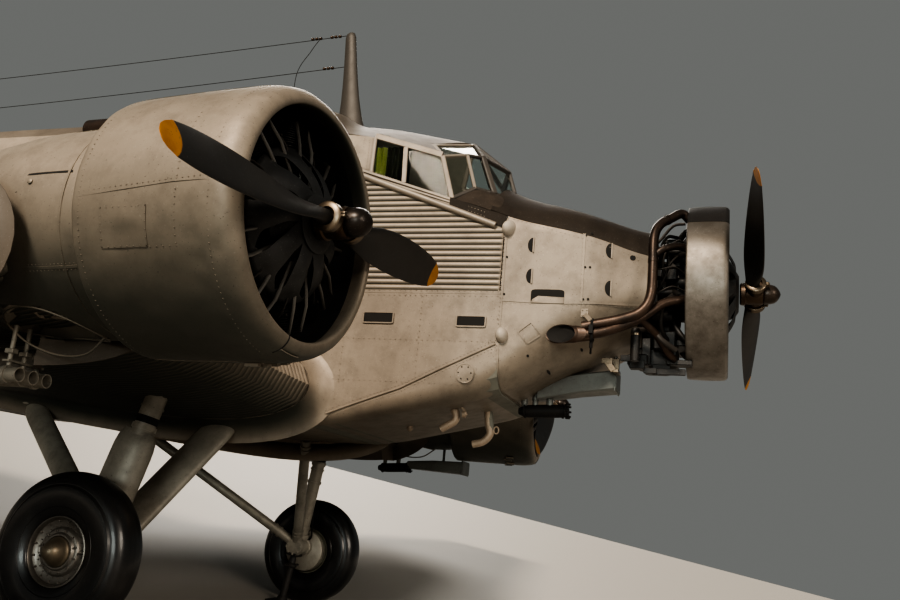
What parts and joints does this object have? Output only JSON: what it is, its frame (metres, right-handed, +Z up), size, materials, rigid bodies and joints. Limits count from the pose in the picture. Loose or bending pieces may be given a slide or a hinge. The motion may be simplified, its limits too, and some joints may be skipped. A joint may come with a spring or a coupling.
{
  "type": "three-engined military transport plane",
  "caption": "Early all-metal transport plane with corrugated skin, radial engines, fixed landing gear, hollow cabin, turning propellers, wheels, control surfaces and doors.",
  "frame": {"origin": "on the floor under the middle of the aircraft's bounding box", "axes": "+X forward towards the nose, level with the floor; +Y towards the port wing tip; +Z up. The aircraft stands nose-up by 9.5 degrees."},
  "size_m": [18.8642, 29.309, 5.8685],
  "materials": {
    "grey_paint": "satin light grey paint, worn and speckled",
    "bare_metal": "dull bare metal",
    "engine_metal": "black oily castings",
    "exhaust_metal": "dark heat-browned steel",
    "propeller_paint": "matt dark brown-grey with yellow tips",
    "tyre_rubber": "smooth glossy black rubber",
    "inside_paint": "matt grey-green"
  },
  "bodies": {
    "airframe": {"nose_section": "grey_paint", "cabin_floor": "grey_paint", "cockpit_shell": "grey_paint", "instrument_board": "inside_paint", "cockpit_curtain_port": "inside_paint", "cockpit_curtain_starboard": "inside_paint", "cockpit_seat_port": "inside_paint", "cockpit_seat_starboard": "inside_paint", "cockpit_controls": "inside_paint", "cabin_side_port": "grey_paint", "cabin_side_starboard": "grey_paint", "cabin_roof": "grey_paint", "bulkhead_front": "inside_paint", "bulkhead_rear": "inside_paint", "rear_fuselage": "grey_paint", "fin": "grey_paint", "tailplane_port": "grey_paint", "tailplane_starboard": "grey_paint", "tailplane_strut_port": "grey_paint", "tailplane_strut_starboard": "grey_paint", "mast": "grey_paint", "wing_port": "grey_paint", "wing_starboard": "grey_paint", "engine_nose": "engine_metal", "engine_port": "engine_metal", "engine_starboard": "engine_metal", "exhaust_nose": "exhaust_metal", "cowl_nose": "bare_metal", "cowl_port": "grey_paint", "cowl_starboard": "grey_paint", "nacelle_port": "grey_paint", "nacelle_starboard": "grey_paint", "oil_cooler_nose": "bare_metal", "oil_cooler_port": "bare_metal", "wing_pipes_starboard": "bare_metal", "gear_port": "grey_paint", "gear_starboard": "grey_paint", "axle_stand_port": "inside_paint", "axle_stand_starboard": "inside_paint"},
    "propeller_nose": {"propeller_nose": "propeller_paint"},
    "propeller_port": {"propeller_port": "propeller_paint"},
    "propeller_starboard": {"propeller_starboard": "propeller_paint"},
    "main_wheel_port": {"tyre_port": "tyre_rubber", "wheel_hub_port": "bare_metal"},
    "elevator_port": {"elevator_port": "grey_paint"},
    "flap_port": {"flap_port": "grey_paint"},
    "aileron_port": {"aileron_port": "grey_paint"},
    "main_wheel_starboard": {"tyre_starboard": "tyre_rubber", "wheel_hub_starboard": "bare_metal"},
    "elevator_starboard": {"elevator_starboard": "grey_paint"},
    "flap_starboard": {"flap_starboard": "grey_paint"},
    "aileron_starboard": {"aileron_starboard": "grey_paint"},
    "tail_fork": {"tail_fork": "grey_paint"},
    "tail_wheel": {"tail_wheel": "tyre_rubber"},
    "rudder": {"rudder": "grey_paint"},
    "door_port": {"door_port": "grey_paint"},
    "cargo_door_upper": {"cargo_door_upper": "grey_paint"},
    "cargo_door_lower": {"cargo_door_lower": "grey_paint"}
  },
  "joints": [
    {"name": "propeller_nose_spin", "type": "hinge", "parent": "airframe", "child": "propeller_nose", "pos_m": [9.23677, 0, 3.77307], "axis": [0.9863, 0, 0.1649], "continuous": true},
    {"name": "propeller_port_spin", "type": "hinge", "parent": "airframe", "child": "propeller_port", "pos_m": [7.10121, 3.296, 2.88976], "axis": [0.9827, 0.085, 0.1643], "continuous": true},
    {"name": "propeller_starboard_spin", "type": "hinge", "parent": "airframe", "child": "propeller_starboard", "pos_m": [7.10121, -3.296, 2.88976], "axis": [0.9827, -0.085, 0.1643], "continuous": true},
    {"name": "wheel_port_spin", "type": "hinge", "parent": "airframe", "child": "main_wheel_port", "pos_m": [5.05273, 2.012, 0.55798], "axis": [0, 1, 0], "continuous": true},
    {"name": "wheel_starboard_spin", "type": "hinge", "parent": "airframe", "child": "main_wheel_starboard", "pos_m": [5.05273, -2.012, 0.55798], "axis": [0, 1, 0], "continuous": true},
    {"name": "tail_fork_swivel", "type": "hinge", "parent": "airframe", "child": "tail_fork", "pos_m": [-7.29988, 0, 0.56071], "axis": [-0.1649, 0, 0.9863], "range_deg": [-60, 60]},
    {"name": "tail_wheel_spin", "type": "hinge", "parent": "tail_fork", "child": "tail_wheel", "pos_m": [-7.33917, 0, 0.24998], "axis": [0, 1, 0], "continuous": true},
    {"name": "rudder_swing", "type": "hinge", "parent": "airframe", "child": "rudder", "pos_m": [-8.11946, 0, 1.8847], "axis": [-0.1649, 0, 0.9863], "range_deg": [-30, 30]},
    {"name": "elevator_port_swing", "type": "hinge", "parent": "airframe", "child": "elevator_port", "pos_m": [-7.4174, 0.9, 1.74862], "axis": [0, -1, 0], "range_deg": [-25, 25]},
    {"name": "elevator_starboard_swing", "type": "hinge", "parent": "airframe", "child": "elevator_starboard", "pos_m": [-7.4174, -0.9, 1.74862], "axis": [0, -1, 0], "range_deg": [-25, 25]},
    {"name": "flap_port_swing", "type": "hinge", "parent": "airframe", "child": "flap_port", "pos_m": [1.93484, 1.3803, 1.47418], "axis": [0.0361, -0.9947, -0.0964], "range_deg": [0, 40]},
    {"name": "flap_starboard_swing", "type": "hinge", "parent": "airframe", "child": "flap_starboard", "pos_m": [1.93484, -1.3803, 1.47418], "axis": [-0.0361, -0.9947, 0.0964], "range_deg": [0, 40]},
    {"name": "aileron_port_swing", "type": "hinge", "parent": "airframe", "child": "aileron_port", "pos_m": [1.68734, 8.2, 2.13514], "axis": [0.0361, -0.9947, -0.0964], "range_deg": [-20, 20]},
    {"name": "aileron_starboard_swing", "type": "hinge", "parent": "airframe", "child": "aileron_starboard", "pos_m": [1.68734, -8.2, 2.13514], "axis": [-0.0361, -0.9947, 0.0964], "range_deg": [-20, 20]},
    {"name": "door_port_swing", "type": "hinge", "parent": "airframe", "child": "door_port", "pos_m": [-0.24474, 0.838, 2.49176], "axis": [0.1649, 0, -0.9863], "range_deg": [0, 100]},
    {"name": "cargo_door_upper_swing", "type": "hinge", "parent": "airframe", "child": "cargo_door_upper", "pos_m": [-0.75946, -0.838, 3.07182], "axis": [-0.9863, 0, -0.1649], "range_deg": [0, 85]},
    {"name": "cargo_door_lower_swing", "type": "hinge", "parent": "airframe", "child": "cargo_door_lower", "pos_m": [-0.55429, -0.838, 1.84485], "axis": [0.9863, 0, 0.1649], "range_deg": [0, 95]}
  ],
  "couplings": [
    {"joint": "elevator_starboard_swing", "follows": "elevator_port_swing", "ratio": 1},
    {"joint": "flap_starboard_swing", "follows": "flap_port_swing", "ratio": 1},
    {"joint": "aileron_starboard_swing", "follows": "aileron_port_swing", "ratio": -1}
  ]
}
